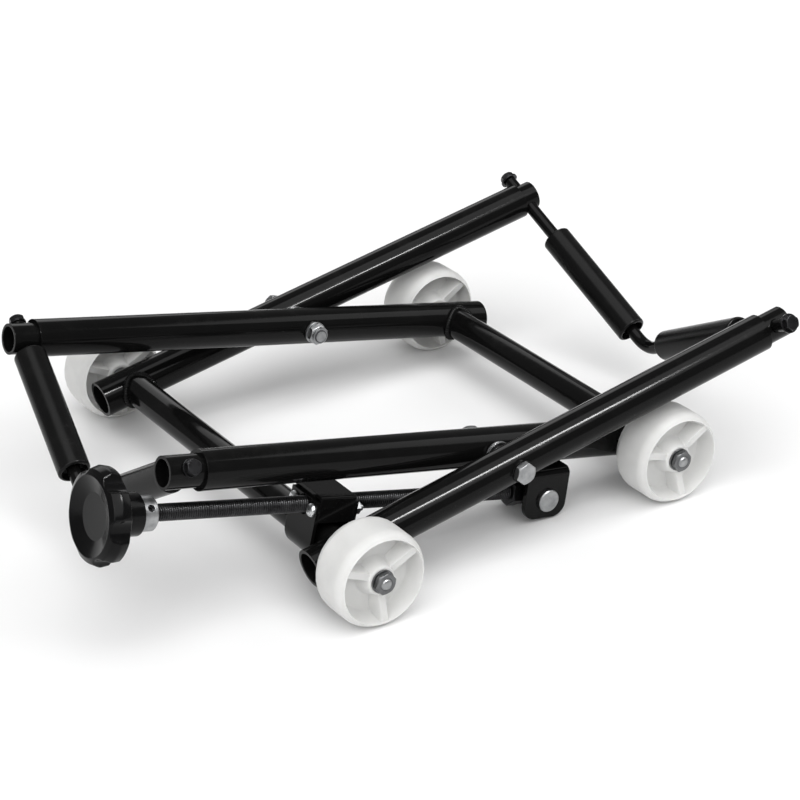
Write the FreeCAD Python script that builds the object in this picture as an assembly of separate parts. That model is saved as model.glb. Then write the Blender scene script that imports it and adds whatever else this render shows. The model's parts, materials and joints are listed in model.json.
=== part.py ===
import FreeCAD, Part
import math
import os

from FreeCAD import Placement, Rotation, Vector

# Scissor dolly for moving a tyred wheel. Two tubular frames cross at a main pivot. The outer frame rises
# to +X, the inner frame rises to -X. On the -Y (front) side a hand screw ties the outer frame's low cross
# tube to the inner frame's front arm. Turning it draws them together, so both roller cradles rise and
# close under the tyre. Modelled fully open.
# Millimetres and degrees. +Z is up, the floor is z = 0, and the origin is the middle of the footprint.

# ---------------------------------------------------------------------------------- driving dimensions
FRAME_ANGLE = 11.5            # slope of each frame from the floor when fully open
PIVOT_X = 36.65               # main pivot, from the middle of the overall length
AXLE_STATION = 165.0          # main pivot to wheel axle, measured along an arm
ARM_TAIL = 197.0              # main pivot to an arm's low, open end

TUBE_RADIUS = 16.5
TUBE_BORE = 13.5
CROSS_RADIUS = 14.0
CROSS_BORE = 11.5
EXTENSION_RADIUS = 13.45      # slides into the arm's bore
EXTENSION_BORE = 11.0
EXTENSION_INSERT = 80.0       # length of the extension hidden in the arm

OUTER_ARM_Y = 182.0
INNER_ARM_Y = 145.7
OUTER_ARM_END = {"front": 267.5, "rear": 270.5}
INNER_ARM_END = {"front": 276.5, "rear": 276.5}
OUTER_EXTENSION_OUT = {"front": 25.0, "rear": 16.5}
INNER_EXTENSION_OUT = {"front": 31.0, "rear": 23.0}

WHEEL_RADIUS = 41.5
WHEEL_HALF_WIDTH = 21.0
WHEEL_GAP = 1.3               # washer between the arm and the wheel
WHEEL_HUB_RECESS = 3.5
AXLE_RADIUS = 5.0

RUNNING_FIT = 0.05            # radial clearance of every pin that turns
TIGHT_FIT = 0.02              # radial clearance of nuts on their threads and bushes in their holes
WASHER_FIT = 0.2              # radial clearance of plain washers
FACE_GAP = 0.15               # between a turning face and the washer beside it

CRADLE_ROD_RADIUS = 6.0
CRADLE_BEND = 27.0
ROLLER_RADIUS = 14.0
ROLLER_BORE = 11.5
ROLLER_LENGTH = 126.0
ROLLER_EDGE = 2.0
ROLLER_BUSH_LENGTH = 12.0
ROLLER_BUSH_RECESS = 7.0

SCREW_SLOPE = 13.2            # the lead screw falls to the right by this much when fully open
SCREW_RADIUS = 7.0
SCREW_ABOVE_CROSS = 26.77     # lead screw's axis above the outer cross tube's axis
SADDLE_TO_TRUNNION = 210.3    # along the lead screw, fully open

BOLT_FLATS = 17.0             # M10 heads and nuts
SIDES = {"front": -1, "rear": 1}

# ---------------------------------------------------------------------------------- derived places
SLOPE = math.radians(FRAME_ANGLE)
PIVOT_Z = WHEEL_RADIUS + AXLE_STATION * math.sin(SLOPE)
PIVOT = Vector(PIVOT_X, 0, PIVOT_Z)
UP_OUTER = Vector(math.cos(SLOPE), 0, math.sin(SLOPE))
UP_INNER = Vector(-math.cos(SLOPE), 0, math.sin(SLOPE))
X_AXIS = Vector(1, 0, 0)
Y_AXIS = Vector(0, 1, 0)
Z_AXIS = Vector(0, 0, 1)

FALL = math.radians(SCREW_SLOPE)
SCREW_RIGHT = Vector(math.cos(FALL), 0, -math.sin(FALL))
SCREW_UP = Vector(math.sin(FALL), 0, math.cos(FALL))
LEFT_AXLE = PIVOT - UP_OUTER * AXLE_STATION
SADDLE = LEFT_AXLE + SCREW_UP * SCREW_ABOVE_CROSS - Y_AXIS * INNER_ARM_Y
TRUNNION = SADDLE + SCREW_RIGHT * SADDLE_TO_TRUNNION

# Each cradle rod is a V, bent at "corner", whose legs cross the two extensions at "cross". Stations are
# measured from the corner along a leg: where the roller starts, where the rod ends, and where the end
# bolt's head starts.
RIGHT_CRADLE = {
    "corner": PIVOT + Vector(286.9, 0, -39.7),
    "cross": {
        "front": PIVOT + Vector(271.6, -OUTER_ARM_Y, 55.9),
        "rear": PIVOT + Vector(271.6, OUTER_ARM_Y, 55.9),
    },
    "roller_start": {"front": 35.0, "rear": 24.5},
    "rod_end": {"front": 237.0, "rear": 229.5},
    "head_start": {"front": 239.0, "rear": 231.5},
    "washer_radius": 8.5,
}
LEFT_CRADLE = {
    "corner": PIVOT + Vector(-301.0, -7.0, -28.4),
    "cross": {
        "front": PIVOT + Vector(-284.5, -INNER_ARM_Y, 58.0),
        "rear": PIVOT + Vector(-279.5, INNER_ARM_Y, 56.0),
    },
    "roller_start": {"front": 21.0, "rear": 33.0},
    "rod_end": {"front": 178.2, "rear": 192.0},
    "head_start": {"front": 180.2, "rear": 194.0},
    "washer_radius": 7.4,
}


# ---------------------------------------------------------------------------------- small shape helpers
def cylinder(base, axis, radius, length):
    return Part.makeCylinder(radius, length, base, axis)


def ring(base, axis, outer, inner, length):
    return cylinder(base, axis, outer, length).cut(cylinder(base, axis, inner, length))


def set_on(shape, base, axis):
    """Moves a shape built round +Z at the origin so that it stands on base, along axis."""
    shape.Placement = Placement(base, Rotation(Z_AXIS, axis))
    return shape


def solid_of_revolution(outline, base, axis):
    """outline holds (radius, height) corners. Four numbers are an arc's middle and its end."""
    edges = []
    here = Vector(outline[0][0], 0, outline[0][1])
    for step in outline[1:] + outline[:1]:
        if len(step) == 4:
            middle = Vector(step[0], 0, step[1])
            there = Vector(step[2], 0, step[3])
            edges.append(Part.Arc(here, middle, there).toShape())
        else:
            there = Vector(step[0], 0, step[1])
            edges.append(Part.makeLine(here, there))
        here = there
    face = Part.Face(Part.Wire(edges))
    return set_on(face.revolve(Vector(0, 0, 0), Z_AXIS, 360), base, axis)


HEX_CHAMFER = 0.08            # shares of the width across flats
HEX_FACE = 0.48
NUT_COLLAR = 0.43


def hex_piece(base, axis, flats, length, bore=0.0, turn=0.0, dome=0.0):
    """A hexagonal head or nut with chamfered corners; dome adds a nut's plain locking collar."""
    corner = flats / math.sqrt(3)
    chamfer = HEX_CHAMFER * flats
    points = []
    for step in range(7):
        angle = math.radians(60 * step + turn)
        points.append(Vector(corner * math.cos(angle), corner * math.sin(angle), 0))
    prism = Part.Face(Part.makePolygon(points)).extrude(Vector(0, 0, length))
    face = HEX_FACE * flats
    barrel = [(0, 0), (face, 0), (corner, chamfer), (corner, length - chamfer)]
    barrel += [(face, length), (0, length)]
    shape = prism.common(solid_of_revolution(barrel, Vector(0, 0, 0), Z_AXIS))
    if dome:
        shape = shape.fuse(Part.makeCylinder(NUT_COLLAR * flats, length + dome)).removeSplitter()
    if bore:
        shape = shape.cut(Part.makeCylinder(bore, length + dome))
    return set_on(shape, base, axis)


def save(name, *solids):
    shape = solids[0] if len(solids) == 1 else Part.makeCompound(list(solids))
    shape.exportStep(os.path.join("parts", name + ".step"))


def on_arm(direction, station, y):
    return PIVOT + direction * station + Y_AXIS * y


# ---------------------------------------------------------------------------------- the two frames
def arm(direction, y, end):
    """One arm tube, drilled for the pivot bush and for its wheel axle."""
    tube = ring(on_arm(direction, -ARM_TAIL, y), direction, TUBE_RADIUS, TUBE_BORE, ARM_TAIL + end)
    drill_length = 3 * TUBE_RADIUS
    bush_hole = cylinder(PIVOT + Y_AXIS * (y - drill_length / 2), Y_AXIS, BUSH_RADIUS, drill_length)
    axle = on_arm(direction, -AXLE_STATION, y - drill_length / 2)
    axle_hole = cylinder(axle, Y_AXIS, AXLE_RADIUS + RUNNING_FIT, drill_length)
    return tube.cut(bush_hole).cut(axle_hole)


def cross_tube(direction, y):
    """The low cross tube, in line with the wheel axles and coped round both arms."""
    bar = ring(on_arm(direction, -AXLE_STATION, -y), Y_AXIS, CROSS_RADIUS, CROSS_BORE, 2 * y)
    cope_length = 2 * (ARM_TAIL - AXLE_STATION)
    for side in SIDES.values():
        start = on_arm(direction, -ARM_TAIL, side * y)
        bar = bar.cut(cylinder(start, direction, TUBE_RADIUS, cope_length))
    return bar


def extension(direction, y, end, out, cradle, name):
    """The smaller tube in an arm's upper end, with the slanted hole for the cradle rod."""
    start = on_arm(direction, end - EXTENSION_INSERT, y)
    tube = ring(start, direction, EXTENSION_RADIUS, EXTENSION_BORE, EXTENSION_INSERT + out)
    leg = leg_direction(cradle, name)
    reach = 2 * EXTENSION_RADIUS
    hole_start = cradle["cross"][name] - leg * reach
    return tube.cut(cylinder(hole_start, leg, CRADLE_ROD_RADIUS + RUNNING_FIT, 2 * reach))


BUSH_RADIUS = 10.0
BUSH_PROUD = 0.6
SPACER_WASHER = 1.4           # two of these stand between the frames at each side
SPACER_GAP = 0.1
BODY_GAP = 0.3                # between the two frames' touching faces
SPACER_WASHER_RADIUS = 12.0


def pivot_bush(y):
    """The short sleeve through an arm that the main pivot bolt turns in."""
    half = TUBE_RADIUS + BUSH_PROUD
    bore = AXLE_RADIUS + RUNNING_FIT
    return ring(PIVOT + Y_AXIS * (y - half), Y_AXIS, BUSH_RADIUS - TIGHT_FIT, bore, 2 * half)


def outward(y, side):
    return PIVOT + Y_AXIS * (side * y)


def build_frames():
    for name, side in SIDES.items():
        outer_y = side * OUTER_ARM_Y
        inner_y = side * INNER_ARM_Y
        outer_end = OUTER_ARM_END[name]
        inner_end = INNER_ARM_END[name]
        outer_out = OUTER_EXTENSION_OUT[name]
        inner_out = INNER_EXTENSION_OUT[name]
        save("outer_arm_" + name, arm(UP_OUTER, outer_y, outer_end))
        save("inner_arm_" + name, arm(UP_INNER, inner_y, inner_end))
        outer_tip = extension(UP_OUTER, outer_y, outer_end, outer_out, RIGHT_CRADLE, name)
        inner_tip = extension(UP_INNER, inner_y, inner_end, inner_out, LEFT_CRADLE, name)
        save("outer_extension_" + name, outer_tip)
        save("inner_extension_" + name, inner_tip)
    save("outer_cross_tube", cross_tube(UP_OUTER, OUTER_ARM_Y))
    save("inner_cross_tube", cross_tube(UP_INNER, INNER_ARM_Y))
    save("outer_pivot_bushes", *[pivot_bush(side * OUTER_ARM_Y) for side in SIDES.values()])
    save("inner_pivot_bushes", *[pivot_bush(side * INNER_ARM_Y) for side in SIDES.values()])


# ---------------------------------------------------------------------------------- main pivot bolts
HEAD_HEIGHT = 6.4
WASHER_THICKNESS = 2.0
WASHER_RADIUS = 10.0
NUT_HEIGHT = 6.6
NUT_DOME = 2.3
INSERT_THICKNESS = 0.6        # locking ring, on top of the nut's dome
INSERT_RADIUS = 6.12
BOLT_TIP = 0.6                # how far a bolt stands out of its nut


def build_main_pivot():
    bolts, washers, nuts, inserts, spacers = [], [], [], [], []
    head_face = OUTER_ARM_Y + TUBE_RADIUS + BUSH_PROUD
    nut_face = INNER_ARM_Y - TUBE_RADIUS - BUSH_PROUD - BODY_GAP
    bore = AXLE_RADIUS + TIGHT_FIT
    tip = nut_face - WASHER_THICKNESS - NUT_HEIGHT - NUT_DOME - INSERT_THICKNESS - BOLT_TIP
    for side in SIDES.values():
        out = Y_AXIS * side
        shank = cylinder(outward(tip, side), out, AXLE_RADIUS, head_face - tip)
        head = hex_piece(outward(head_face, side), out, BOLT_FLATS, HEAD_HEIGHT, turn=18)
        bolts.append(shank.fuse(head).removeSplitter())
        inner_face = outward(nut_face, side)
        washer_bore = AXLE_RADIUS + WASHER_FIT
        washers.append(ring(inner_face, -out, WASHER_RADIUS, washer_bore, WASHER_THICKNESS))
        nut_base = inner_face - out * WASHER_THICKNESS
        nuts.append(hex_piece(nut_base, -out, BOLT_FLATS, NUT_HEIGHT, bore, 12, NUT_DOME))
        collar = nut_base - out * (NUT_HEIGHT + NUT_DOME)
        inserts.append(ring(collar, -out, INSERT_RADIUS, bore, INSERT_THICKNESS))
        gap_start = INNER_ARM_Y + TUBE_RADIUS + BODY_GAP
        for index in range(2):
            base = outward(gap_start + index * (SPACER_WASHER + SPACER_GAP), side)
            spacer_bore = BUSH_RADIUS + WASHER_FIT
            spacers.append(ring(base, out, SPACER_WASHER_RADIUS, spacer_bore, SPACER_WASHER))
    save("pivot_bolts", *bolts)
    save("pivot_washers", *washers)
    save("pivot_lock_nuts", *nuts)
    save("pivot_nut_inserts", *inserts)
    save("pivot_spacer_washers", *spacers)


# ---------------------------------------------------------------------------------- wheels and axles
WHEEL_LIP_RADIUS = 37.3
WHEEL_LIP_BEVEL = 0.6
WHEEL_TREAD_ROUND = 11.0
WHEEL_TREAD_DEPTH = 10.0      # from a face to where the tread becomes flat
WHEEL_DISH_RADIUS = 36.2
WHEEL_DISH_FLOOR_RADIUS = 32.5
WHEEL_WEB_HALF = 4.0
WHEEL_HUB_RADIUS = 12.0
WHEEL_HUB_FOOT = 15.5
WHEEL_BUSH_RADIUS = 7.0
RIB_THICKNESS = 5.0
RIB_COUNT = 3
RIB_DROP = 1.5                # ribs stop this far below the hub's face
RIB_TURN = {"left": 57.0, "right": 50.0}
AXLE_WASHER_RADIUS = 10.0
AXLE_WASHER = 1.6
AXLE_SPACER_RADIUS = 9.0
THIN_NUT = 5.0
AXLE_TIP = 1.2                # how far a stud stands out of its nut


def wheel_half_outline():
    """From the bore to the rim along one face: hub, dish floor, dish wall, lip and tread."""
    flat = WHEEL_HALF_WIDTH - WHEEL_TREAD_DEPTH
    centre = WHEEL_RADIUS - WHEEL_TREAD_ROUND
    turn = math.acos((WHEEL_LIP_RADIUS - centre) / WHEEL_TREAD_ROUND)
    lip = flat + WHEEL_TREAD_ROUND * math.sin(turn)
    middle = turn / 2
    hub_face = WHEEL_HALF_WIDTH - WHEEL_HUB_RECESS
    return [
        (WHEEL_BUSH_RADIUS, hub_face),
        (WHEEL_HUB_RADIUS, hub_face),
        (WHEEL_HUB_FOOT, WHEEL_WEB_HALF),
        (WHEEL_DISH_FLOOR_RADIUS, WHEEL_WEB_HALF),
        (WHEEL_DISH_RADIUS, WHEEL_HALF_WIDTH - WHEEL_LIP_BEVEL),
        (WHEEL_DISH_RADIUS + WHEEL_LIP_BEVEL, WHEEL_HALF_WIDTH),
        (WHEEL_LIP_RADIUS, lip),
        (
            centre + WHEEL_TREAD_ROUND * math.cos(middle),
            flat + WHEEL_TREAD_ROUND * math.sin(middle),
            WHEEL_RADIUS,
            flat,
        ),
    ]


def wheel_outline():
    """Both faces of the wheel, mirrored about its middle plane."""
    upper = wheel_half_outline()
    arc = upper[-1]
    lower = [(WHEEL_RADIUS, -arc[3]), (arc[0], -arc[1], WHEEL_LIP_RADIUS, -upper[-2][1])]
    lower += [(point[0], -point[1]) for point in reversed(upper[:-2])]
    return upper + lower


def wheel(centre, rib_turn):
    body = solid_of_revolution(wheel_outline(), centre, Y_AXIS)
    start = WHEEL_HUB_RADIUS - 1
    reach = WHEEL_DISH_RADIUS + 1 - start
    height = 2 * (WHEEL_HALF_WIDTH - WHEEL_HUB_RECESS - RIB_DROP)
    for index in range(RIB_COUNT):
        rib = Part.makeBox(RIB_THICKNESS, height, reach)
        rib.translate(Vector(-RIB_THICKNESS / 2, -height / 2, start))
        rib.rotate(Vector(0, 0, 0), Y_AXIS, rib_turn + index * 360 / RIB_COUNT)
        rib.translate(centre)
        body = body.fuse(rib)
    return body.removeSplitter()


def axle_set(direction, arm_y, side, rib_turn):
    """Everything on one wheel axle, from the arm outwards."""
    out = Y_AXIS * side
    axle = on_arm(direction, -AXLE_STATION, 0)
    bore = AXLE_RADIUS + TIGHT_FIT
    arm_face = arm_y + TUBE_RADIUS
    wheel_centre = arm_face + WHEEL_GAP + WHEEL_HALF_WIDTH
    hub_half = WHEEL_HALF_WIDTH - WHEEL_HUB_RECESS
    hub_inner = wheel_centre - hub_half
    hub_outer = wheel_centre + hub_half
    spacer_start = arm_face + FACE_GAP
    spacer_length = hub_inner - FACE_GAP - spacer_start
    washer_start = hub_outer + FACE_GAP
    nut_start = washer_start + AXLE_WASHER
    stud_start = arm_y - TUBE_RADIUS + 1
    stud_length = nut_start + THIN_NUT + AXLE_TIP - stud_start

    def tube(start, outer, inner, length):
        return ring(axle + out * start, out, outer, inner, length)

    return {
        "wheel": wheel(axle + out * wheel_centre, rib_turn),
        "bush": tube(hub_inner, WHEEL_BUSH_RADIUS - TIGHT_FIT, AXLE_RADIUS + RUNNING_FIT, 2 * hub_half),
        "stud": cylinder(axle + out * stud_start, out, AXLE_RADIUS, stud_length),
        "spacer": tube(spacer_start, AXLE_SPACER_RADIUS, bore, spacer_length),
        "washer": tube(washer_start, AXLE_WASHER_RADIUS, bore, AXLE_WASHER),
        "nut": hex_piece(axle + out * nut_start, out, BOLT_FLATS, THIN_NUT, bore, 10),
    }


def build_wheels():
    ends = {"left": (UP_OUTER, OUTER_ARM_Y), "right": (UP_INNER, INNER_ARM_Y)}
    for end, (direction, arm_y) in ends.items():
        sets = []
        for name, side in SIDES.items():
            pieces = axle_set(direction, arm_y, side, RIB_TURN[end])
            save("wheel_" + end + "_" + name, pieces["wheel"])
            save("wheel_bush_" + end + "_" + name, pieces["bush"])
            sets.append(pieces)
        save("axle_studs_" + end, *[pieces["stud"] for pieces in sets])
        save("axle_nuts_" + end, *[pieces["nut"] for pieces in sets])
        save("axle_spacers_" + end, *[pieces["spacer"] for pieces in sets])
        save("axle_washers_" + end, *[pieces["washer"] for pieces in sets])


# ---------------------------------------------------------------------------------- roller cradles
CRADLE_BOLT_RADIUS = 4.0
CRADLE_BOLT_FLATS = 12.0
CRADLE_HEAD = 5.3
CRADLE_BOLT_DEPTH = 14.0
CRADLE_WASHER = 1.6


def leg_direction(cradle, name):
    leg = cradle["cross"][name] - cradle["corner"]
    return leg.normalize()


def cradle_rod(cradle):
    """The bent round bar, drilled at both ends for its end bolts."""
    corner = cradle["corner"]
    front = leg_direction(cradle, "front")
    rear = leg_direction(cradle, "rear")
    half_turn = (math.pi - front.getAngle(rear)) / 2
    tangent = CRADLE_BEND * math.tan(half_turn)
    inward = (front + rear).normalize()
    middle = corner + inward * (CRADLE_BEND / math.cos(half_turn) - CRADLE_BEND)
    start = corner + front * cradle["rod_end"]["front"]
    end = corner + rear * cradle["rod_end"]["rear"]
    bend_start = corner + front * tangent
    bend_end = corner + rear * tangent
    bend = Part.Arc(bend_start, middle, bend_end).toShape()
    path = Part.Wire([Part.makeLine(start, bend_start), bend, Part.makeLine(bend_end, end)])
    section = Part.Wire(Part.makeCircle(CRADLE_ROD_RADIUS, start, front))
    rod = path.makePipeShell([section], True, False)
    depth = CRADLE_BOLT_DEPTH + 2
    for tip, leg in ((start, front), (end, rear)):
        rod = rod.cut(cylinder(tip - leg * depth, leg, CRADLE_BOLT_RADIUS + TIGHT_FIT, depth))
    return rod


def cradle_bolt(cradle, name):
    corner = cradle["corner"]
    leg = leg_direction(cradle, name)
    start = cradle["rod_end"][name] - CRADLE_BOLT_DEPTH
    head_start = cradle["head_start"][name]
    shank = cylinder(corner + leg * start, leg, CRADLE_BOLT_RADIUS, head_start - start)
    head = hex_piece(corner + leg * head_start, leg, CRADLE_BOLT_FLATS, CRADLE_HEAD, turn=20)
    return shank.fuse(head).removeSplitter()


def cradle_washer(cradle, name):
    leg = leg_direction(cradle, name)
    base = cradle["corner"] + leg * (cradle["head_start"][name] - CRADLE_WASHER)
    bore = CRADLE_BOLT_RADIUS + WASHER_FIT
    return ring(base, leg, cradle["washer_radius"], bore, CRADLE_WASHER)


def roller(base, leg):
    """A thick tube with rounded ends."""
    edge = ROLLER_EDGE
    away = edge * (1 - math.sqrt(0.5))
    far = ROLLER_LENGTH
    outline = [
        (ROLLER_BORE, 0),
        (ROLLER_RADIUS - edge, 0),
        (ROLLER_RADIUS - away, away, ROLLER_RADIUS, edge),
        (ROLLER_RADIUS, far - edge),
        (ROLLER_RADIUS - away, far - away, ROLLER_RADIUS - edge, far),
        (ROLLER_BORE, far),
    ]
    return solid_of_revolution(outline, base, leg)


def roller_bushes(base, leg):
    near = ROLLER_BUSH_RECESS
    far = ROLLER_LENGTH - ROLLER_BUSH_RECESS - ROLLER_BUSH_LENGTH
    outer = ROLLER_BORE - TIGHT_FIT
    bore = CRADLE_ROD_RADIUS + RUNNING_FIT
    return [ring(base + leg * start, leg, outer, bore, ROLLER_BUSH_LENGTH) for start in (near, far)]


def build_cradle(end, cradle):
    save(end + "_cradle_rod", cradle_rod(cradle))
    save(end + "_cradle_bolts", *[cradle_bolt(cradle, name) for name in SIDES])
    save(end + "_cradle_washers", *[cradle_washer(cradle, name) for name in SIDES])
    for name in SIDES:
        leg = leg_direction(cradle, name)
        base = cradle["corner"] + leg * cradle["roller_start"][name]
        save("roller_" + end + "_" + name, roller(base, leg))
        save("roller_bushes_" + end + "_" + name, *roller_bushes(base, leg))


# ---------------------------------------------------------------------------------- trunnion
BRACKET_PLATE = 4.0
BRACKET_HALF_WIDTH = 22.0
BRACKET_BEND = 6.0
BRACKET_SLOPE = 8.5           # welded on a little flatter than the arm
BRACKET_LEFT = 23.0           # from the trunnion pin
BRACKET_RIGHT = 20.0
BRACKET_BELOW = 16.5
BRACKET_CORNER = 12.0
TRUNNION_RADIUS = 10.0
TRUNNION_PROUD = 3.5
TRUNNION_EDGE = 0.8
SCREW_NUT_FLATS = 22.0
SCREW_NUT_HEIGHT = 11.0
SPACER_RADIUS = 11.0
LEFT_SPACER = 6.6
RIGHT_SPACER = 1.5
RIGHT_NUT_HEIGHT = 7.0
THRUST_GAP = 0.3              # between the trunnion pin and the spacers beside it
SCREW_RIGHT_TIP = 20.0


def rounded_plate(left, right, bottom, top, corner, thickness):
    """A plate in the XZ plane with its two bottom corners rounded, centred on y = 0."""
    shape = Part.makeBox(right - left, thickness, top - bottom, Vector(left, -thickness / 2, bottom))
    for x in (left, right):
        inside = x + corner if x == left else x - corner
        block_x = min(x, inside)
        block = Part.makeBox(corner, thickness, corner, Vector(block_x, -thickness / 2, bottom))
        round_end = Vector(inside, -thickness / 2, bottom + corner)
        shape = shape.cut(block.cut(cylinder(round_end, Y_AXIS, corner, thickness)))
    return shape


def channel(half_width, plate, bend, bottom, top, left, right):
    """An upside-down U in bent plate, running along X."""
    def outline(half, roof, radius):
        slack = radius * (1 - math.sqrt(0.5))
        edges = [
            Part.makeLine(Vector(left, -half, bottom), Vector(left, -half, roof - radius)),
            Part.Arc(
                Vector(left, -half, roof - radius),
                Vector(left, -half + slack, roof - slack),
                Vector(left, -half + radius, roof),
            ).toShape(),
            Part.makeLine(Vector(left, -half + radius, roof), Vector(left, half - radius, roof)),
            Part.Arc(
                Vector(left, half - radius, roof),
                Vector(left, half - slack, roof - slack),
                Vector(left, half, roof - radius),
            ).toShape(),
            Part.makeLine(Vector(left, half, roof - radius), Vector(left, half, bottom)),
            Part.makeLine(Vector(left, half, bottom), Vector(left, -half, bottom)),
        ]
        return Part.Face(Part.Wire(edges)).extrude(Vector(right - left, 0, 0))

    outer = outline(half_width, top, bend)
    inner = outline(half_width - plate, top - plate, max(bend - plate, 0.5))
    return outer.cut(inner)


def tilted(shape, place, angle):
    """Turns a shape about Y so that its X axis falls to the right by angle, then moves it to place."""
    shape.rotate(Vector(0, 0, 0), Y_AXIS, angle)
    shape.translate(place)
    return shape


def trunnion_bracket():
    """The channel welded under the front inner arm; its roof is coped where the arm dips into it."""
    arm_up = Vector(math.sin(SLOPE), 0, math.cos(SLOPE))
    top = (PIVOT - TRUNNION).dot(arm_up) - TUBE_RADIUS
    body = channel(BRACKET_HALF_WIDTH, BRACKET_PLATE, BRACKET_BEND, -BRACKET_BELOW, top,
                   -BRACKET_LEFT, BRACKET_RIGHT)
    width = 2 * BRACKET_HALF_WIDTH
    side_view = rounded_plate(-BRACKET_LEFT, BRACKET_RIGHT, -BRACKET_BELOW, top, BRACKET_CORNER, width)
    body = body.common(side_view)
    hole = cylinder(Vector(0, -width, 0), Y_AXIS, TRUNNION_RADIUS + RUNNING_FIT, 2 * width)
    body = tilted(body.cut(hole), TRUNNION, BRACKET_SLOPE)
    low_end = on_arm(UP_INNER, -ARM_TAIL, -INNER_ARM_Y)
    return body.cut(cylinder(low_end, UP_INNER, TUBE_RADIUS, ARM_TAIL))


def trunnion_pin():
    """The cross pin, with a clear hole that the lead screw turns in."""
    half = BRACKET_HALF_WIDTH + TRUNNION_PROUD
    edge = TRUNNION_EDGE
    outline = [
        (0, -half), (TRUNNION_RADIUS - edge, -half), (TRUNNION_RADIUS, -half + edge),
        (TRUNNION_RADIUS, half - edge), (TRUNNION_RADIUS - edge, half), (0, half),
    ]
    pin = solid_of_revolution(outline, TRUNNION, Y_AXIS)
    reach = 2 * TRUNNION_RADIUS
    hole = cylinder(TRUNNION - SCREW_RIGHT * reach, SCREW_RIGHT, SCREW_RADIUS + RUNNING_FIT, 2 * reach)
    return pin.cut(hole)


def build_trunnion():
    save("trunnion_bracket", trunnion_bracket())
    save("trunnion_pin", trunnion_pin())
    bore = SCREW_RADIUS + TIGHT_FIT
    left_face = TRUNNION - SCREW_RIGHT * (TRUNNION_RADIUS + THRUST_GAP)
    right_face = TRUNNION + SCREW_RIGHT * (TRUNNION_RADIUS + THRUST_GAP)
    save(
        "thrust_spacers",
        ring(left_face, -SCREW_RIGHT, SPACER_RADIUS, bore, LEFT_SPACER),
        ring(right_face, SCREW_RIGHT, SPACER_RADIUS, bore, RIGHT_SPACER),
    )
    left_nut = left_face - SCREW_RIGHT * LEFT_SPACER
    right_nut = right_face + SCREW_RIGHT * RIGHT_SPACER
    save(
        "thrust_nuts",
        hex_piece(left_nut, -SCREW_RIGHT, SCREW_NUT_FLATS, SCREW_NUT_HEIGHT, bore, 12),
        hex_piece(right_nut, SCREW_RIGHT, SCREW_NUT_FLATS, RIGHT_NUT_HEIGHT, bore, 12),
    )


# ---------------------------------------------------------------------------------- screw and knob
COLLAR_START = 371.8          # from the trunnion pin, along the lead screw
COLLAR_LENGTH = 13.0
COLLAR_RADIUS = 14.0
COLLAR_EDGE = 1.0
HUB_RADIUS = 17.2
HUB_LENGTH = 15.6
KNOB_BACK_RADIUS = 20.0       # where the back's cone meets the hub
KNOB_CONE_RADIUS = 38.0
KNOB_CONE_END = 24.0          # heights along the screw, from the shaft collar
KNOB_WIDEST = 31.5
KNOB_RADIUS = 39.3
KNOB_FRONT = 38.3
KNOB_FRONT_RADIUS = 36.5
KNOB_LIP = 40.6
KNOB_LIP_RADIUS = 31.6
KNOB_LIP_THICKNESS = 1.6
KNOB_FLOOR = 35.8
KNOB_FLOOR_RADIUS = 18.5
KNOB_BLIND = 30.0             # how far the screw runs into the knob
KNOB_FLUTES = 6
KNOB_FLUTE_RADIUS = 12.0
KNOB_FLUTE_CENTRE = 45.3      # flute axes, from the screw's axis
KNOB_FLUTE_TURN = -4.8
SET_SCREW_RADIUS = 3.0
SET_SCREW_LENGTH = 4.6
SET_SCREW_SOCKET = 3.2
SET_SCREW_TURN = 40.0         # the set screw's hole, up from the front


def lead_screw():
    start = TRUNNION + SCREW_RIGHT * SCREW_RIGHT_TIP
    length = SCREW_RIGHT_TIP + COLLAR_START + COLLAR_LENGTH + KNOB_BLIND - 1
    outline = [
        (0, 0), (SCREW_RADIUS - 1, 0), (SCREW_RADIUS, 1),
        (SCREW_RADIUS, length - 1), (SCREW_RADIUS - 1, length), (0, length),
    ]
    return solid_of_revolution(outline, start, -SCREW_RIGHT)


def hand_knob():
    """A dished round knob with six finger flutes, and a hub towards the shaft collar."""
    outline = [
        (SCREW_RADIUS + TIGHT_FIT, 0),
        (HUB_RADIUS - 1, 0),
        (HUB_RADIUS, 1),
        (HUB_RADIUS, HUB_LENGTH),
        (KNOB_BACK_RADIUS, HUB_LENGTH),
        (KNOB_CONE_RADIUS, KNOB_CONE_END),
        (KNOB_RADIUS, KNOB_WIDEST),
        (KNOB_FRONT_RADIUS, KNOB_FRONT),
        (KNOB_LIP_RADIUS, KNOB_LIP),
        (KNOB_LIP_RADIUS - KNOB_LIP_THICKNESS, KNOB_LIP - KNOB_LIP_THICKNESS / 2),
        (KNOB_FLOOR_RADIUS, KNOB_FLOOR),
        (0, KNOB_FLOOR),
        (0, KNOB_BLIND),
        (SCREW_RADIUS + TIGHT_FIT, KNOB_BLIND),
    ]
    start = TRUNNION - SCREW_RIGHT * (COLLAR_START + COLLAR_LENGTH)
    body = solid_of_revolution(outline, start, -SCREW_RIGHT)
    for index in range(KNOB_FLUTES):
        angle = math.radians(KNOB_FLUTE_TURN + 360 * index / KNOB_FLUTES)
        radial = Y_AXIS * math.cos(angle) + SCREW_UP * math.sin(angle)
        base = start + radial * KNOB_FLUTE_CENTRE
        body = body.cut(cylinder(base, -SCREW_RIGHT, KNOB_FLUTE_RADIUS, KNOB_LIP))
    return body


def set_screw_direction():
    angle = math.radians(SET_SCREW_TURN)
    return SCREW_UP * math.sin(angle) - Y_AXIS * math.cos(angle)


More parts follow.
